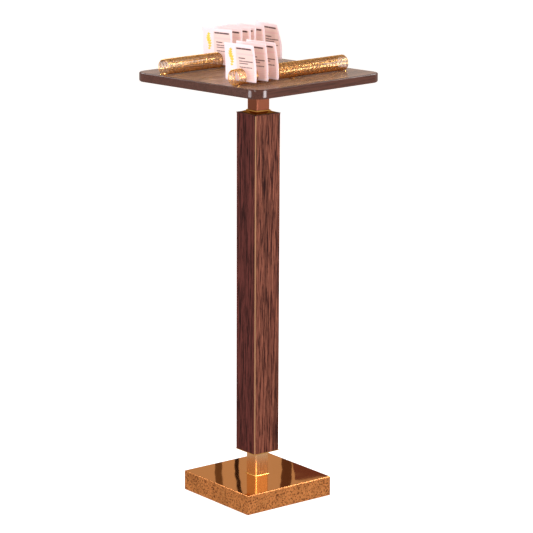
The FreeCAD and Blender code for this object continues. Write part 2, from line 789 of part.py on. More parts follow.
def make_clip_screws(label, side):
    """Three round-headed brass screws that hold a coil's clips to the board."""
    body = new_body(label)
    sketch = new_sketch(body, "XZ_Plane")
    axis = f"({side} * clip_screw_out)"
    head, shank = "clip_screw_head / 2", "clip_screw_shank / 2"
    outline = (
        (axis, "-clip_screw_length"),
        (f"{axis} + {shank}", "-clip_screw_length + 3"),
        (f"{axis} + {shank}", "clip_sheet"),
        (f"{axis} + {head}", "clip_sheet"),
        (f"{axis} + {head} * 0.92", "clip_sheet + 1.1"),
        (f"{axis} + {head} * 0.6", "clip_sheet + 2"),
        (axis, "clip_sheet + 2.4"),
    )
    add_outline(sketch, outline, "screw")
    spin = revolve_about_last_side(body, sketch)
    repeat_along(body, [spin])
    bind(body, "Placement.Base.x", f"{side} * coil_out * 1 mm")
    bind(body, "Placement.Base.y", "(coil_front + clip_first_turn * coil_pitch) * 1 mm")
    raise_to(body, "board_top")


# ---------------------------------------------------------------- cards

# Turn of the coil that each card stands at, from front to back, and its lean in degrees.
RIGHT_CARDS = ((5, 0.6), (13, 0.6), (20, 0.6))
LEFT_CARDS = ((37, 1.0), (44, -0.4), (50, 0.6), (53, -0.3), (60, 0.5), (72, 0.8))


def make_card(label, side, turn, lean):
    """A stiff card between two turns. It is turned a little to follow the gap, which half a turn
    of the wire carries along the coil, and its lower edge stands just over the wire."""
    card = DOC.addObject("Part::Box", label)
    bind(card, "Length", "card_wide")
    bind(card, "Width", "card_thick")
    bind(card, "Height", "card_high")
    follow = FreeCAD.Rotation(FreeCAD.Vector(0, 0, 1), dim("card_skew"))
    tip = FreeCAD.Rotation(FreeCAD.Vector(1, 0, 0), lean)
    turned = follow.multiply(tip)
    middle = FreeCAD.Vector(-dim("card_wide") / 2, -dim("card_thick") / 2, 0)
    # It leans about the coil's axis, so that it stays midway between the turns there.
    pivot = FreeCAD.Vector(0, 0, dim("coil_lift") + dim("wire_radius") + dim("coil_radius"))
    drop = FreeCAD.Vector(0, 0, dim("card_lift")) - pivot
    along = dim("coil_front") + turn * dim("coil_pitch") + lean * dim("card_shift")
    at = FreeCAD.Vector(side * dim("coil_out"), along, dim("board_top")) + pivot
    card.Placement = FreeCAD.Placement(at + turned.multVec(middle + drop), turned)
    NODES.append(card)


def make_cards():
    """The cards that stand in each coil, numbered from the front."""
    for side, word, stand in ((1, "right", RIGHT_CARDS), (-1, "left", LEFT_CARDS)):
        for number, (turn, lean) in enumerate(stand, start=1):
            make_card(f"{word}_card_{number}", side, turn, lean)


# ---------------------------------------------------------------- build and write


def check():
    """Stops the build if any object failed, or a sub-part is empty or invalid."""
    for item in DOC.Objects:
        if {"Invalid", "Error"} & set(item.State):
            raise ValueError(f"{item.Label} failed: {item.State}")
    for node in NODES:
        if node.Shape.isNull() or not node.Shape.isValid() or not node.Shape.Solids:
            raise ValueError(f"{node.Label} has no valid solid")


def main():
    """Builds every sub-part and writes each one to its own STEP file."""
    make_base()
    make_tie_rod()
    make_column()
    make_bearing()
    turn_stand()
    make_swivel_plate()
    make_board()
    for side, word in ((1, "right"), (-1, "left")):
        make_coil(word + "_coil", side)
        make_clips(word + "_clips", side)
        make_clip_screws(word + "_clip_screws", side)
    make_cards()
    DOC.recompute()
    check()
    os.makedirs("parts", exist_ok=True)
    for node in NODES:
        node.Shape.exportStep(f"parts/{node.Label}.step")
        print(f"{node.Label:22s} {len(node.Shape.Solids):2d} solids {node.Shape.Volume:14.1f} mm3")


main()
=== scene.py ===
"""Card display stand: finishes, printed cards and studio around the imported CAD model."""

import json
import math

import bmesh
import bpy
from bpy.props import FloatProperty, FloatVectorProperty, IntProperty, PointerProperty
from mathutils import Matrix, Vector


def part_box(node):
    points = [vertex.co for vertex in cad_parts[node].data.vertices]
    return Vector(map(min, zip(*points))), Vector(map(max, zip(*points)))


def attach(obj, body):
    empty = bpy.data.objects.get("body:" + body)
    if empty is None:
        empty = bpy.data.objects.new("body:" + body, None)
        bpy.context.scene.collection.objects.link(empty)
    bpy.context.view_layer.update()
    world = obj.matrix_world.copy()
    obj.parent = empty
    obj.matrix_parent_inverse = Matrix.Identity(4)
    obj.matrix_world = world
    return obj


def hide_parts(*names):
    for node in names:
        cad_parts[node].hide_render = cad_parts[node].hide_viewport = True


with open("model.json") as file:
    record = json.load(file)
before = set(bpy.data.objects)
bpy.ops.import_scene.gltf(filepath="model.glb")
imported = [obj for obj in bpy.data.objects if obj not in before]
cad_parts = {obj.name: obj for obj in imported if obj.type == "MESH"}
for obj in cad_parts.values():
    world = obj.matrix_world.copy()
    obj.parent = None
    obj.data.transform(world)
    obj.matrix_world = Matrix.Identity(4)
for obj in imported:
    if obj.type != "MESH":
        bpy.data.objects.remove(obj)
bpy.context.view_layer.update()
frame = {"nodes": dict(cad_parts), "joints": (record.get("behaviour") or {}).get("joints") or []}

bl_info = {
    "name": "Card Display Stand",
    "version": (1, 0, 0),
    "blender": (4, 5, 0),
    "location": "3D View > Sidebar > Card Stand",
    "description": "Finishes and cards for a brass and walnut card stand",
    "category": "Object",
}

MM = 0.001


# ---------------------------------------------------------------- settings


def colour(name, description, default):
    """A colour property, in linear light."""
    return FloatVectorProperty(
        name=name, description=description, default=default, subtype="COLOR", size=3, min=0, max=1
    )


def length(name, description, default):
    """A length property, in metres."""
    return FloatProperty(name=name, description=description, default=default, unit="LENGTH", min=0)


def angle(name, description, degrees):
    """An angle property, given in degrees."""
    return FloatProperty(
        name=name, description=description, default=math.radians(degrees), subtype="ANGLE"
    )


class WalnutSettings(bpy.types.PropertyGroup):
    """Tones of the walnut parts."""

    dark: colour("Dark grain", "Darkest streaks", (0.014, 0.0030, 0.0032))
    middle: colour("Middle", "Ground tone of the column", (0.118, 0.034, 0.025))
    light: colour("Light grain", "Lightest streaks", (0.300, 0.108, 0.066))
    # Painted shade: the column's front and left panels are coloured darker than its walnut to stand
    # in for the shade on those sides.
    shade: colour("Shaded side", "Light grain on the column's darker sides", (0.135, 0.036, 0.030))
    # Painted highlight: the light tan on the bevels along the column's four corners stands in for
    # the light those bevels catch.
    corner: colour("Corner", "Worn bevel along the column", (0.38, 0.21, 0.11))
    top: colour("Top", "Ground tone of the glossy top", (0.310, 0.185, 0.130))
    band: colour("Edge band", "Ground tone of the edge band", (0.076, 0.025, 0.016))
    raw: colour("Inner wood", "Unfinished blocks and core", (0.42, 0.29, 0.17))
    streak: length("Streak width", "Width of one streak of grain", 0.0036)


class BrassSettings(bpy.types.PropertyGroup):
    """Tones of the brass parts."""

    polished: colour("Polished", "Collar, beads and screws", (0.83, 0.47, 0.13))
    plate: colour("Base top", "Mirror face of the base", (0.84, 0.34, 0.120))
    stippled: colour("Base sides", "Stippled sides of the base", (0.92, 0.37, 0.12))
    pit: colour("Pits", "Dark pits in the stippled sides", (0.10, 0.022, 0.012))
    neck: colour("Lower neck", "Satin tube under the column", (0.86, 0.60, 0.34))
    # Painted shade: the upper neck and its cap are the same brass as the lower neck, coloured darker
    # for the shade under the top.
    neck_shade_tone: colour("Upper neck", "Darker tube under the top", (0.27, 0.090, 0.050))
    wire: colour("Wire", "Drawn wire of the coils", (0.92, 0.56, 0.22))
    grain: length("Stipple size", "Distance between the pits", 0.0052)


class CardSettings(bpy.types.PropertyGroup):
    """Paper and print of the cards."""

    paper: colour("Paper", "Face of a card", (0.90, 0.75, 0.80))
    back: colour("Back", "Back of a card", (0.94, 0.72, 0.60))
    # The panel colour is partly a printed salmon tint and partly painted shadow from the card in
    # front.
    panel: colour("Panel", "Field behind the print", (0.82, 0.55, 0.46))
    ink: colour("Ink", "Lines of small print", (0.060, 0.020, 0.030))
    rule: colour("Rules", "Fine ruled lines", (0.80, 0.36, 0.44))
    foil: colour("Foil", "Sprig at the left of a card", (0.95, 0.62, 0.10))
    wide: length("Width", "Width of a card", 0.108)
    high: length("Height", "Height of a card", 0.102)
    thick: length("Thickness", "Thickness of a card", 0.0004)
    turn: angle("Turn", "How far a card turns to follow the gap in its coil", 5.2)
    held: length("Held", "Height of the flat part that the coil holds", 0.036)
    columns: IntProperty(name="Columns", description="Faces across a card", default=20, min=4)


class StudioSettings(bpy.types.PropertyGroup):
    """Camera, lights and floor."""

    azimuth: angle("Azimuth", "Camera's turn about the stand, from the front", 44.842)
    elevation: angle("Elevation", "Camera's height angle", 12.843)
    roll: angle("Roll", "Camera's roll", 0.237)
    distance: length("Distance", "From the camera to the point it looks at", 6.7586)
    aim_height: length("Aim height", "Height of that point over the floor", 0.66686)
    aim_right: length("Aim right", "How far that point lies to the right of the axis", 0.02424)
    lens: FloatProperty(name="Lens", description="Focal length in millimetres", default=161.83)
    ambient: colour("Ambient", "The room's light on the stand", (0.56, 0.49, 0.45))
    floor: colour("Floor", "Colour of the floor", (0.93, 0.93, 0.94))


def settings(group):
    """One of the property groups, by its name on the scene."""
    return getattr(bpy.context.scene, "stand_" + group)


# ---------------------------------------------------------------- shader maths


class Signal:
    """A shader socket that can be used in Python expressions."""

    def __init__(self, finish, socket):
        self.finish = finish
        self.socket = socket

    def maths(self, operation, *values):
        """A Math node on this socket and other values."""
        return self.finish.node("ShaderNodeMath", {"operation": operation}, dict(enumerate(values)))

    def __add__(self, other):
        return self.maths("ADD", self, other)

    def __sub__(self, other):
        return self.maths("SUBTRACT", self, other)

    def __mul__(self, other):
        return self.maths("MULTIPLY", self, other)

    def __rsub__(self, other):
        return self.maths("SUBTRACT", other, self)

    def __abs__(self):
        return self.maths("ABSOLUTE", self)

    __radd__ = __add__
    __rmul__ = __mul__

    def power(self, exponent):
        """This value raised to a power."""
        return self.maths("POWER", self, exponent)

    def rings(self, spacing):
        """A smooth wave from 0 to 1 that repeats at a spacing."""
        return self.maths("SINE", self * (2 * math.pi / spacing)) * 0.5 + 0.5

    def above(self, low, high):
        """0 under low, 1 over high and a smooth step between."""
        return self.finish.node(
            "ShaderNodeMapRange",
            {"interpolation_type": "SMOOTHSTEP"},
            {"Value": self, "From Min": low, "From Max": high},
        )

    def within(self, centre, half, soft):
        """1 within half of a centre, falling to 0 over a soft edge."""
        return 1 - abs(self - centre).above(half - soft, half + soft)

    def parts(self):
        """The X, Y and Z of a vector."""
        make = self.finish.node
        return [
            make("ShaderNodeSeparateXYZ", {}, {"Vector": self}, output=i) for i in range(3)
        ]


class Finish:
    """A material with one Principled shader, built up node by node."""

    def __init__(self, name, **uniform):
        self.material = bpy.data.materials.new(name)
        self.material.use_nodes = True
        self.tree = self.material.node_tree
        self.shader = self.tree.nodes["Principled BSDF"]
        for socket, value in uniform.items():
            self.shader.inputs[socket.replace("_", " ")].default_value = value

    def node(self, kind, options, inputs, output=0):
        """Adds a node: its options go first, then the values or links of its sockets."""
        node = self.tree.nodes.new(kind)
        for key, value in options.items():
            setattr(node, key, value)
        for key, value in inputs.items():
            if isinstance(value, Signal):
                self.tree.links.new(value.socket, node.inputs[key])
            else:
                node.inputs[key].default_value = value
        return Signal(self, node.outputs[output])

    def place(self, stretch=(1, 1, 1)):
        """The stand's own coordinates in metres, each axis times its stretch."""
        spot = self.node("ShaderNodeTexCoord", {}, {}, output="Object")
        return self.node("ShaderNodeMapping", {}, {"Vector": spot, "Scale": stretch})

    def noise(self, stretch=(1, 1, 1), scale=1.0, detail=3.0, roughness=0.55, distortion=0.0):
        """Noise of about scale lumps to the metre, pulled out by a stretch."""
        inputs = {
            "Vector": self.place(stretch), "Scale": scale, "Detail": detail,
            "Roughness": roughness, "Distortion": distortion,
        }
        return self.node("ShaderNodeTexNoise", {}, inputs)

    def mix(self, factor, first, second, blend="MIX"):
        """Two colours mixed by a factor."""
        first, second = ((*c, 1) if isinstance(c, tuple) else c for c in (first, second))
        kind = {"data_type": "RGBA", "blend_type": blend}
        return self.node("ShaderNodeMix", kind, {0: factor, 6: first, 7: second}, output=2)

    def feed(self, **links):
        """Links signals to the shader's sockets."""
        for socket, signal in links.items():
            self.tree.links.new(signal.socket, self.shader.inputs[socket.replace("_", " ")])

    def bump(self, height, strength, distance):
        """Feeds a height to the shader's normal."""
        inputs = {"Height": height, "Strength": strength, "Distance": distance}
        self.feed(Normal=self.node("ShaderNodeBump", {}, inputs))


def rgb(value):
    """A colour property as a plain tuple."""
    return tuple(value)


def tone(value, factor):
    """A colour made lighter or darker."""
    return tuple(min(1.0, part * factor) for part in value)


def total(signals):
    """The sum of several signals."""
    first, *rest = signals
    return sum(rest, first)


# ---------------------------------------------------------------- wood

# How far the column and base stand turned from the axes.
COLUMN_TURN = math.radians(-7)

# Places of the log's heart: X, Y, the level where it is at that Y, and its slope.
SHADED_HEART = (-0.012, -0.075, 0.55, 0.05)
LIT_HEART = (0.030, 0.010, 0.40, 0.06)


def walnut(name, tones, along, roughness, gloss, heart=None, corner=None):
    """Walnut with its grain along one axis. Tones are dark, middle and light. The heart of the
    log, if it lies near the face, draws the growth rings out into arches along Z."""
    wood = settings("walnut")
    finish = Finish(name, Specular_IOR_Level=gloss, IOR=1.45)
    across = 1.0 / wood.streak
    run = across / 22
    stretch = tuple(run if axis == along else across for axis in "XYZ")
    broad = tuple(part * 0.22 for part in stretch)
    pores = tuple(part * (2.6 if axis == along else 2.0) for part, axis in zip(stretch, "XYZ"))
    figure = finish.noise(broad, detail=2.0, distortion=0.6)
    streaks = finish.noise(stretch, detail=4.0, roughness=0.65, distortion=0.2)
    pore = finish.noise(pores, detail=2.0).above(0.56, 0.68)
    dark, middle, light = tones
    grain = streaks.above(0.36, 0.66)
    if heart:
        x, y, z = finish.place().parts()
        heart_x, heart_y, level, slope = heart
        deep_x, deep_y = x - heart_x, y - heart_y - (z - level) * slope
        drift = (figure - 0.5) * 0.022 + (streaks - 0.5) * 0.004
        log = (deep_x * deep_x + deep_y * deep_y).power(0.5) + drift
        grain = grain * 0.50 + log.rings(0.0095) * 0.50
    ground = finish.mix(grain, middle, light)
    veined = finish.mix(figure.above(0.52, 0.34) * 0.45, ground, dark)
    veined = finish.mix(streaks.above(0.52, 0.40) * 0.85, veined, dark)
    surface = finish.mix(pore * 0.65, veined, dark)
    # Painted highlight on the bevels along the column's corners.
    if corner:
        surface = finish.mix(bevel_highlight_mask(finish), surface, corner)
    finish.feed(Base_Color=surface, Roughness=streaks * 0.16 + roughness)
    finish.bump(streaks * 0.5 - pore * 0.5, 0.2, 0.2 * MM)
    return finish.material


def bevel_highlight_mask(finish):
    """1 on the slanting faces along the column's corners and 0 on its flat faces: where a highlight
    is painted on the bevels.
    """
    normal = finish.node("ShaderNodeNewGeometry", {}, {}, output="Normal")
    inputs = {"Vector": normal, "Angle": -COLUMN_TURN}
    turned = finish.node("ShaderNodeVectorRotate", {"rotation_type": "Z_AXIS"}, inputs)
    x, y, _z = turned.parts()
    return (abs(x) * abs(y)).above(0.30, 0.44)


def inner_wood():
    """Unfinished particle board for the hidden blocks and the core."""
    wood = settings("walnut")
    finish = Finish("inner_board", Roughness=0.85)
    chips = finish.noise((420, 420, 420), detail=2.0)
    fibre = finish.noise((60, 60, 60), detail=3.0)
    raw = rgb(wood.raw)
    ground = finish.mix(chips.above(0.40, 0.62), tone(raw, 0.6), tone(raw, 1.2))
    finish.feed(Base_Color=finish.mix(fibre * 0.4, ground, tone(raw, 0.75)))
    finish.bump(chips, 0.4, 0.4 * MM)
    return finish.material


def walnut_finishes():
    """The walnut materials, by CAD node."""
    wood = settings("walnut")
    dark, shade, corner = rgb(wood.dark), rgb(wood.shade), rgb(wood.corner)
    top, band = rgb(wood.top), rgb(wood.band)
    bright = (dark, rgb(wood.middle), rgb(wood.light))
    # A darker copy of the walnut tones: painted shade for the column's front and left panels and for
    # its cap.
    shade_painted_tones = (tone(dark, 0.8), tone(shade, 0.8), shade)
    sheen = (tone(top, 0.55), top, tone(top, 1.35))
    lacquer = (tone(band, 0.6), band, tone(band, 1.2))
    shade_painted_walnut = walnut("walnut_column_painted_shade", shade_painted_tones, "Z", 0.50, 0.08, SHADED_HEART, corner)
    lit = walnut("walnut_column", bright, "Z", 0.50, 0.08, LIT_HEART, corner)
    cap = walnut("walnut_cap", shade_painted_tones, "X", 0.45, 0.12)
    glossy = walnut("walnut_top", sheen, "Y", 0.14, 0.30)
    edge = walnut("walnut_edge", lacquer, "Y", 0.08, 0.60)
    raw = inner_wood()
    return {
        "column_panel_front": shade_painted_walnut, "column_panel_left": shade_painted_walnut,
        "column_panel_right": lit, "column_panel_back": lit, "column_cap": cap,
        "top_laminate": glossy, "edge_band": edge,
        "board_core": raw, "base_block": raw, "lower_plug": raw, "upper_plug": raw,
    }


# ---------------------------------------------------------------- metal

# Tint of what brass mirrors at a glancing angle.
GLANCE = (1.0, 0.86, 0.62, 1.0)


def brass(name, base, roughness, brushed=0.0, along="Z", mottle=0.12):
    """Brass with faint cloudy tarnish, and brush marks along one axis where it is satin."""
    finish = Finish(name, Metallic=1.0, Specular_Tint=GLANCE)
    cloud = finish.noise((14, 14, 14), detail=4.0)
    rubbed = finish.mix(cloud.above(0.35, 0.75) * mottle * 3, base, tone(base, 0.62))
    fine = tuple(12 if axis == along else 900 for axis in "XYZ")
    marks = finish.noise(fine, detail=2.0)
    finish.feed(Base_Color=finish.mix(marks * brushed, rubbed, tone(base, 0.72)))
    finish.feed(Roughness=cloud * 0.08 + marks * (brushed * 0.3) + roughness)
    if brushed:
        finish.bump(marks, brushed * 0.5, 0.05 * MM)
    return finish.material


def drawn_wire():
    """The coils' wire: bright, with darker drawing skin left in patches from turn to turn."""
    wire = rgb(settings("brass").wire)
    finish = Finish("brass_wire", Metallic=1.0, Specular_Tint=GLANCE)
    skin = finish.noise((95, 210, 95), detail=2.0, roughness=0.6).above(0.44, 0.60)
    cloud = finish.noise((30, 60, 30), detail=3.0)
    dark = (wire[0] * 0.42, wire[1] * 0.30, wire[2] * 0.30)
    finish.feed(Base_Color=finish.mix(skin * 0.75, wire, dark))
    finish.feed(Roughness=cloud * 0.10 + skin * 0.10 + 0.12)
    return finish.material


def base_brass():
    """The base's shell: a mirror on top, stippled and pitted on its four sides, with painted glints
    on the raised stipple.
    """
    metal = settings("brass")
    finish = Finish("brass_base", Metallic=1.0, Specular_Tint=GLANCE)
    normal = finish.node("ShaderNodeNewGeometry", {}, {}, output="Normal")
    top = normal.parts()[2].above(0.55, 0.9)
    size = 1.0 / metal.grain
    pits = finish.noise((size, size, size), detail=3.0, roughness=0.7)
    drift = finish.noise((26, 26, 26), detail=3.0)
    pitted = pits.above(0.50, 0.62)
    side = finish.mix(drift.above(0.3, 0.7), rgb(metal.stippled), tone(rgb(metal.stippled), 0.72))
    # Painted highlight: light orange speckles on the raised stipple between the pits.
    side = finish.mix(pits.above(0.44, 0.32) * 0.5, side, (0.95, 0.55, 0.20))
    side = finish.mix(pitted * 0.85, side, rgb(metal.pit))
    face = finish.mix(drift * 0.35, rgb(metal.plate), tone(rgb(metal.plate), 0.8))
    rough = (1 - top) * (pits * 0.25 + 0.22) + drift * 0.03 + 0.03
    finish.feed(Base_Color=finish.mix(top, side, face), Roughness=rough)
    ripple = finish.noise((8, 8, 8), detail=1.0)
    finish.bump((1 - top) * pits + top * ripple * 1.6, 0.55, 0.7 * MM)
    return finish.material


def zinc():
    """Zinc-plated steel with the faint spangle of the plating."""
    finish = Finish("zinc_steel", Metallic=1.0)
    spangle = finish.node(
        "ShaderNodeTexVoronoi", {"feature": "F1"}, {"Vector": finish.place(), "Scale": 260.0}
    )
    finish.feed(Base_Color=finish.mix(spangle, (0.60, 0.61, 0.62), (0.42, 0.43, 0.42)))
    finish.feed(Roughness=spangle * 0.2 + 0.28)
    return finish.material


def metal_finishes():
    """The metal materials, by CAD node."""
    metal = settings("brass")
    polished = brass("brass_polished", rgb(metal.polished), 0.10)
    neck = brass("brass_neck", rgb(metal.neck), 0.18, brushed=0.35)
    # The upper neck's darker brass is painted shade.
    neck_shade_tone = brass("brass_neck_painted_shade", rgb(metal.neck_shade_tone), 0.26, brushed=0.35)
    wire = drawn_wire()
    steel = zinc()
    table = {"base_shell": base_brass()}
    for node in ("collar", "upper_bead", "lower_bead", "foot_plate"):
        table[node] = polished
    table["lower_neck"] = neck
    table["upper_neck"] = table["neck_cap"] = neck_shade_tone
    for side in ("right", "left"):
        table[side + "_coil"] = wire
        table[side + "_clips"] = polished
        table[side + "_clip_screws"] = polished
    for node in (
        "ballast_plate", "ballast_screws", "tie_rod", "lower_washer", "lower_nut",
        "upper_washer", "upper_nut", "swivel_plate", "swivel_screws",
    ):
        table[node] = steel
    return table


# ---------------------------------------------------------------- felt and nylon


def felt():
    """Pressed black felt."""
    finish = Finish("felt_pad", Roughness=0.95, Sheen_Weight=0.3)
    fibre = finish.noise((1500, 1500, 1500), detail=3.0)
    finish.feed(Base_Color=finish.mix(fibre, (0.015, 0.015, 0.017), (0.06, 0.058, 0.06)))
    finish.bump(fibre, 0.6, 0.3 * MM)
    return finish.material


def nylon():
    """Natural nylon, slightly cloudy."""
    finish = Finish("nylon_glide", Subsurface_Weight=0.1)
    cloud = finish.noise((120, 120, 120))
    finish.feed(Base_Color=finish.mix(cloud, (0.80, 0.79, 0.74), (0.66, 0.65, 0.60)))
    finish.feed(Roughness=cloud * 0.2 + 0.3)
    return finish.material


def dress(table):
    """Puts each material on its CAD node."""
    for node, material in table.items():
        slots = frame["nodes"][node].data.materials
        slots.clear()
        slots.append(material)


# ---------------------------------------------------------------- cards

# Rows of print on a card's face, as shares of its size: height over the lower edge, left end,
# right end, half the line's height, and how dark it prints. Below come the heights of the fine
# rules, and the softness of a printed edge.
PRINT = (
    (0.870, 0.40, 0.89, 0.022, 1.0),
    (0.615, 0.45, 0.66, 0.015, 0.95),
    (0.535, 0.46, 0.90, 0.014, 0.90),
    (0.475, 0.46, 0.74, 0.013, 0.85),
    (0.375, 0.46, 0.88, 0.013, 0.90),
)
RULES = (0.740, 0.715, 0.280, 0.235, 0.190, 0.145, 0.100)
SOFT = 0.004


def card_face():
    """Pale card with rows of plain strokes in place of words, and fine rules. The face glows faintly
    in its own colours: painted light that lifts the shade between the cards.
    """
    paper = settings("card")
    # A faint glow in the face's own colours: painted light in the shade between the cards.
    finish = Finish("card_face", Roughness=0.42, Specular_IOR_Level=0.3, Emission_Strength=0.16)
    x, _y, z = finish.place((1 / paper.wide, 1, 1 / paper.high)).parts()
    along = x + 0.5
    words = finish.noise((1 / (2.6 * MM), 1, 1 / (9.0 * MM)), detail=2.0).above(0.34, 0.42)
    ink = total(
        z.within(height, half, SOFT)
        * along.within((left + right) / 2, (right - left) / 2, SOFT) * strength
        for height, left, right, half, strength in PRINT
    )
    rules = total(
        z.within(height, 0.0035, 0.003) * along.within(0.68, 0.27, 0.01) for height in RULES
    )
    fibre = finish.noise((700, 700, 700), detail=3.0)
    ground = finish.mix(fibre * 0.25, rgb(paper.paper), tone(rgb(paper.paper), 0.9))
    # Partly a printed salmon tint and partly painted shadow: the field is made darker to stand for
    # the shadow each card casts on the next, leaving the right and top margins light.
    print_field_and_shadow = z.within(0.47, 0.43, 0.01) * along.within(0.65, 0.28, 0.01)
    ground = finish.mix(print_field_and_shadow * 0.6, ground, rgb(paper.panel))
    ruled = finish.mix(rules * 0.7, ground, rgb(paper.rule))
    printed = finish.mix(ink * words * 0.95, ruled, rgb(paper.ink))
    finish.feed(Base_Color=printed, Emission_Color=printed)
    finish.bump(fibre, 0.15, 0.05 * MM)
    return finish.material


def card_back():
    """Plain uncoated back of a card."""
    paper = settings("card")
    finish = Finish("card_back", Roughness=0.6)
    fibre = finish.noise((500, 500, 500), detail=4.0)
    finish.feed(Base_Color=finish.mix(fibre * 0.4, rgb(paper.back), tone(rgb(paper.back), 0.88)))
    finish.bump(fibre, 0.2, 0.05 * MM)
    return finish.material


def foil():
    """Gold foil with a fine crinkle."""
    paper = settings("card")
    finish = Finish("card_foil", Metallic=0.75)
    crinkle = finish.noise((900, 900, 900), detail=2.0)
    gold = rgb(paper.foil)
    finish.feed(Base_Color=finish.mix(crinkle.above(0.4, 0.6), gold, tone(gold, 0.8)))
    finish.feed(Roughness=crinkle * 0.25 + 0.25)
    finish.bump(crinkle, 0.3, 0.05 * MM)
    return finish.material


# How each card bends above the coil that holds it: how far its upper edge comes forward, in
# metres, and how far it twists, in degrees.
BENDS = {
    "right_card_1": (0.0085, -3.0), "right_card_2": (0.0075, -2.0), "right_card_3": (0.0105, -3.0),
    "left_card_1": (0.0020, 1.0), "left_card_2": (0.0010, -1.5), "left_card_3": (0.0025, 0.5),
    "left_card_4": (-0.0010, 1.0), "left_card_5": (0.0020, -2.0), "left_card_6": (0.0040, -17.0),
}

# How far a card's upper edge comes down as it bends.
BEND_DROP = 0.3 * MM


def card_spot(node, across, height, proud):
    """A point of a bent card, from its place on the flat card and its height over the face."""
    paper = settings("card")
    bow, twist = BENDS[node]
    share = max(0.0, (height - paper.held) / (paper.high - paper.held))
    turn = math.radians(twist) * share ** 1.2
    way = Vector((math.cos(turn), math.sin(turn), 0))
    back = Vector((-way.y, way.x, 0))
    drop = BEND_DROP * share
    return way * across + back * proud + Vector((0, -bow * share ** 1.15, height - drop))


def card_mesh(name, node):
    """A card with its lower edge at the origin, flat where the coil holds it and bowed above."""
    paper = settings("card")
    mesh = bmesh.new()
    columns = rows = paper.columns
    trim = 1.5 * MM
    sheets = []
    for face in (-0.5, 0.5):
        sheet = []
        for j in range(rows + 1):
            height = paper.high * j / rows
            edge = min(height, paper.high - height)
            tuck = trim if edge < 0.1 * MM else 0.0
            line = []
            for i in range(columns + 1):
                across = (paper.wide - 2 * tuck) * (i / columns - 0.5)
                line.append(mesh.verts.new(card_spot(node, across, height, face * paper.thick)))
            sheet.append(line)
        sheets.append(sheet)
    front, back = sheets
    for j in range(rows):
        for i in range(columns):
            corners = ((j, i), (j, i + 1), (j + 1, i + 1), (j + 1, i))
            mesh.faces.new([front[a][b] for a, b in corners])
            face = mesh.faces.new([back[a][b] for a, b in reversed(corners)])
            face.material_index = 1
    rim = [(0, i) for i in range(columns)] + [(j, columns) for j in range(rows)]
    rim += [(rows, i) for i in range(columns, 0, -1)] + [(j, 0) for j in range(rows, 0, -1)]
    for (a, b), (c, d) in zip(rim, rim[1:] + rim[:1]):
        face = mesh.faces.new((front[c][d], front[a][b], back[a][b], back[c][d]))
        face.material_index = 1
    bmesh.ops.recalc_face_normals(mesh, faces=mesh.faces)
    data = bpy.data.meshes.new(name)
    mesh.to_mesh(data)
    mesh.free()
    for polygon in data.polygons:
        polygon.use_smooth = abs(polygon.normal.y) > 0.9
    return data


def leaf(mesh, node, root, tilt, size):
    """A pointed leaf of foil, lying on the card's face."""
    outline = ((0.0, 0.0), (0.25, 0.24), (0.60, 0.27), (1.0, 0.0), (0.60, -0.27), (0.25, -0.24))
    lift = 0.12 * MM
    rims = []
    for proud in (0.0, 1.0):
        ring = []
        for u, v in outline:
            across = root[0] + size * (u * math.cos(tilt) - v * math.sin(tilt))
            height = root[1] + size * (u * math.sin(tilt) + v * math.cos(tilt))
            face = -settings("card").thick / 2 - proud * lift
            ring.append(mesh.verts.new(card_spot(node, across, height, face)))
        rims.append(ring)
    low, high = rims
    mesh.faces.new(high)
    mesh.faces.new(list(reversed(low)))
    for i, vertex in enumerate(low):
        after = (i + 1) % len(low)
        mesh.faces.new((vertex, low[after], high[after], high[i]))


def sprig_mesh(name, node):
    """A plain sprig: a curving stem of short leaves with a pair of leaves at each joint."""
    paper = settings("card")
    mesh = bmesh.new()
    joints = 7
    foot, head = 0.40 * paper.high, 0.80 * paper.high
    for i in range(joints):
        share = i / (joints - 1)
        centre = -0.29 * paper.wide + 2.2 * MM * math.sin(2 * math.pi * share)
        height = foot + (head - foot) * share
        size = (13.0 - 5.0 * abs(share - 0.55) * 2) * MM
        leaf(mesh, node, (centre, height - 1.5 * MM), math.radians(90), size * 1.1)
        for side in (-1, 1):
            leaf(mesh, node, (centre, height), math.radians(90 - side * 52), size * 0.85)
    bmesh.ops.recalc_face_normals(mesh, faces=mesh.faces)
    data = bpy.data.meshes.new(name)
    mesh.to_mesh(data)
    mesh.free()
    return data


def card_place(node):
    """Where a card stands: its lower edge's middle, its width along X and its height along Z."""
    low, high = (Vector(corner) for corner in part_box(node))
    joint = next(j for j in frame["joints"] if j["name"] == node + "_lift")
    up = Vector(joint["axis"]).normalized()
    turn = settings("card").turn
    across = Vector((math.cos(turn), math.sin(turn), 0))
    deep = up.cross(across).normalized()
    foot = (low + high) / 2 - up * settings("card").high / 2
    axes = Matrix((across, deep, up)).transposed().to_4x4()
    return Matrix.Translation(foot) @ axes


def make_card(node, materials):
    """One printed card and its foil sprig, in place of the plain CAD card."""
    body = node + "_body"
    face, back, gold = materials
    card = bpy.data.objects.new(node + "_print", card_mesh(node + "_print", node))
    sprig = bpy.data.objects.new(node + "_sprig", sprig_mesh(node + "_sprig", node))
    card.data.materials.append(face)
    card.data.materials.append(back)
    sprig.data.materials.append(gold)
    for piece in (card, sprig):
        bpy.context.scene.collection.objects.link(piece)
        piece.matrix_world = card_place(node)
        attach(piece, body)
    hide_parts(node)


# ---------------------------------------------------------------- studio

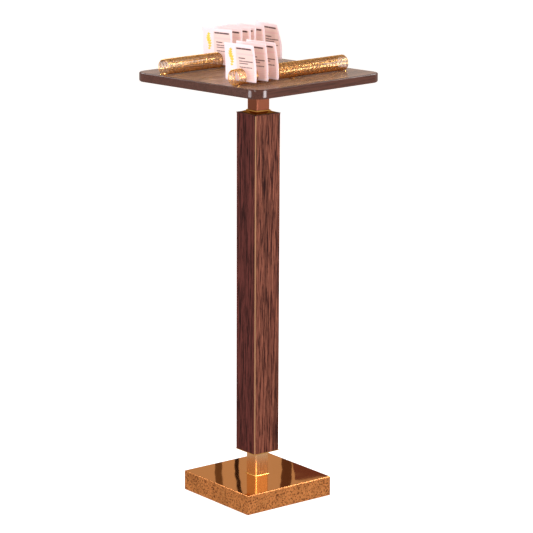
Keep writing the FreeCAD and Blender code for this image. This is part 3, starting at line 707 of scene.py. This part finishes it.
# Soft boxes round the stand: turn to the right of the camera and height angle in degrees,
# distance and size in metres, power in watts, and tint.
LIGHTS = {
    "key": (-27, 22, 3.6, (0.35, 0.35), 36, (1.0, 0.96, 0.92)),
    "right_box": (50, 4, 2.8, (1.1, 0.95), 50, (1.0, 0.97, 1.0)),
    "left_box": (-66, 4, 2.8, (1.1, 0.95), 26, (0.97, 0.95, 1.0)),
    "right_rim": (112, 34, 3.0, (1.0, 0.8), 34, (1, 1, 1)),
    "left_rim": (-112, 34, 3.0, (1.0, 0.8), 26, (1, 1, 1)),
}
LIGHT_AIM = 0.9

# Strips that the base's top mirrors: place to the right of the axis, width, shade, bow to the
# left and height of the upper end. All stand on the same height and have the same steps.
FLAGS = {
    "flag_thin": (-0.058, 0.014, (0.015, 0.005, 0.004), 0.014, 0.46),
    "flag_soft": (-0.126, 0.024, (0.125, 0.090, 0.060), 0.006, 0.46),
    "flag_broad": (0.086, 0.034, (0.090, 0.050, 0.040), -0.008, 0.46),
    "flag_side": (0.192, 0.140, (0.130, 0.060, 0.070), 0.010, 0.397),
}
FLAG_FOOT = 0.24
FLAG_STEPS = 24


def aim(thing, spot, target, roll=0.0):
    """Places a camera or light at a spot, looking at a target."""
    look = (target - spot).to_track_quat("-Z", "Y").to_matrix().to_4x4()
    thing.matrix_world = Matrix.Translation(spot) @ look @ Matrix.Rotation(roll, 4, "Z")


def towards(heading, lift):
    """The direction from the stand at a heading round it and a height angle, in radians."""
    flat = math.cos(lift)
    return Vector((math.sin(heading) * flat, -math.cos(heading) * flat, math.sin(lift)))


def add_camera():
    """The camera, from its angles and distance."""
    studio = settings("studio")
    turn = studio.azimuth
    away = towards(turn, studio.elevation)
    right = Vector((math.cos(turn), math.sin(turn), 0))
    target = right * studio.aim_right + Vector((0, 0, studio.aim_height))
    data = bpy.data.cameras.new("camera")
    data.lens = studio.lens
    data.clip_end = 200
    camera = bpy.data.objects.new("camera", data)
    bpy.context.scene.collection.objects.link(camera)
    aim(camera, target + away * studio.distance, target, studio.roll)
    bpy.context.scene.camera = camera


def add_light(name, turn, elevation, distance, size, power, tint):
    """A soft box aimed at the stand's upper half, turned to the right of the camera."""
    data = bpy.data.lights.new(name, "AREA")
    data.shape = "RECTANGLE"
    data.size, data.size_y = size
    data.energy = power
    data.color = tint
    light = bpy.data.objects.new(name, data)
    bpy.context.scene.collection.objects.link(light)
    heading = settings("studio").azimuth + math.radians(turn)
    centre = Vector((0, 0, LIGHT_AIM))
    aim(light, centre + towards(heading, math.radians(elevation)) * distance, centre)


def add_flag(name, lateral, width, shade, bow, high):
    """A strip one metre behind the stand that only reflections show, bowed to the left."""
    mesh = bmesh.new()
    turn = settings("studio").azimuth
    right = Vector((math.cos(turn), math.sin(turn), 0))
    back = Vector((-math.sin(turn), math.cos(turn), 0))
    rows = []
    for i in range(FLAG_STEPS + 1):
        share = i / FLAG_STEPS
        middle = lateral - bow * math.sin(math.pi * share)
        height = Vector((0, 0, FLAG_FOOT + (high - FLAG_FOOT) * share))
        ends = (middle - width / 2, middle + width / 2)
        rows.append([mesh.verts.new(back + right * x + height) for x in ends])
    for one, two in zip(rows, rows[1:]):
        mesh.faces.new((one[0], one[1], two[1], two[0]))
    data = bpy.data.meshes.new(name)
    mesh.to_mesh(data)
    mesh.free()
    flag = bpy.data.objects.new(name, data)
    finish = Finish(name, Roughness=1.0, Base_Color=(*shade, 1))
    data.materials.append(finish.material)
    bpy.context.scene.collection.objects.link(flag)
    flag.visible_camera = flag.visible_diffuse = flag.visible_shadow = False


def add_floor():
    """A wide pale floor."""
    reach = 60.0
    shade = (*settings("studio").floor, 1)
    mesh = bmesh.new()
    corners = ((-1, -1), (1, -1), (1, 1), (-1, 1))
    mesh.faces.new([mesh.verts.new((x * reach, y * reach, 0)) for x, y in corners])
    data = bpy.data.meshes.new("floor")
    mesh.to_mesh(data)
    mesh.free()
    floor = bpy.data.objects.new("floor", data)
    finish = Finish(
        "floor_paper", Roughness=0.9, Emission_Strength=0.62, Base_Color=shade, Emission_Color=shade
    )
    data.materials.append(finish.material)
    floor.visible_glossy = floor.visible_diffuse = False
    bpy.context.scene.collection.objects.link(floor)


def add_world():
    """A room that is white to the camera, and dimmer and warmer to the stand."""
    world = bpy.data.worlds.new("room")
    world.use_nodes = True
    bpy.context.scene.world = world
    tree = world.node_tree
    seen = tree.nodes.new("ShaderNodeLightPath")
    room = tree.nodes.new("ShaderNodeMix")
    room.data_type = "RGBA"
    room.inputs[6].default_value = (*settings("studio").ambient, 1)
    room.inputs[7].default_value = (1, 1, 1, 1)
    tree.links.new(seen.outputs["Is Camera Ray"], room.inputs[0])
    tree.links.new(room.outputs[2], tree.nodes["Background"].inputs["Color"])


# ---------------------------------------------------------------- operators


class STAND_OT_wood(bpy.types.Operator):
    """Finish the column, the top and the wood inside"""

    bl_idname = "stand.wood"
    bl_label = "Wood"

    def execute(self, context):
        dress(walnut_finishes())
        return {"FINISHED"}


class STAND_OT_metal(bpy.types.Operator):
    """Finish the base, necks, collar, coils and hardware"""

    bl_idname = "stand.metal"
    bl_label = "Metal"

    def execute(self, context):
        dress(metal_finishes())
        return {"FINISHED"}


class STAND_OT_soft_parts(bpy.types.Operator):
    """Finish the felt pad and the nylon glide"""

    bl_idname = "stand.soft_parts"
    bl_label = "Felt and Nylon"

    def execute(self, context):
        dress({"floor_pad": felt(), "glide_ring": nylon()})
        return {"FINISHED"}


class STAND_OT_cards(bpy.types.Operator):
    """Stand printed cards in the coils"""

    bl_idname = "stand.cards"
    bl_label = "Cards"

    def execute(self, context):
        materials = (card_face(), card_back(), foil())
        plain = materials[1]
        for node in sorted(n for n in frame["nodes"] if "_card_" in n):
            dress({node: plain})
            make_card(node, materials)
        return {"FINISHED"}


class STAND_OT_studio(bpy.types.Operator):
    """Set up the camera, lights and floor"""

    bl_idname = "stand.studio"
    bl_label = "Studio"

    def execute(self, context):
        add_camera()
        add_floor()
        add_world()
        for name, values in LIGHTS.items():
            add_light(name, *values)
        for name, values in FLAGS.items():
            add_flag(name, *values)
        context.scene.view_settings.view_transform = "Standard"
        return {"FINISHED"}


OPERATORS = (STAND_OT_wood, STAND_OT_metal, STAND_OT_soft_parts, STAND_OT_cards, STAND_OT_studio)


class STAND_PT_panel(bpy.types.Panel):
    """Lists the stand's pieces and their settings"""

    bl_idname = "STAND_PT_panel"
    bl_label = "Card Stand"
    bl_space_type = "VIEW_3D"
    bl_region_type = "UI"
    bl_category = "Card Stand"

    def draw(self, context):
        for operator in OPERATORS:
            self.layout.operator(operator.bl_idname)
        for name in GROUPS:
            box = self.layout.box()
            box.label(text=name.title())
            group = settings(name)
            for prop in group.bl_rna.properties:
                if prop.identifier not in {"rna_type", "name"}:
                    box.prop(group, prop.identifier)


GROUPS = {
    "walnut": WalnutSettings, "brass": BrassSettings, "card": CardSettings, "studio": StudioSettings,
}


def register():
    for group in GROUPS.values():
        bpy.utils.register_class(group)
    for name, group in GROUPS.items():
        setattr(bpy.types.Scene, "stand_" + name, PointerProperty(type=group))
    for kind in (*OPERATORS, STAND_PT_panel):
        bpy.utils.register_class(kind)


def unregister():
    for kind in reversed((*OPERATORS, STAND_PT_panel)):
        bpy.utils.unregister_class(kind)
    for name, group in GROUPS.items():
        delattr(bpy.types.Scene, "stand_" + name)
        bpy.utils.unregister_class(group)


def main():
    register()
    for operator in OPERATORS:
        group, name = operator.bl_idname.split(".")
        getattr(getattr(bpy.ops, group), name)()
    bpy.context.view_layer.update()


if __name__ == "__main__":
    main()
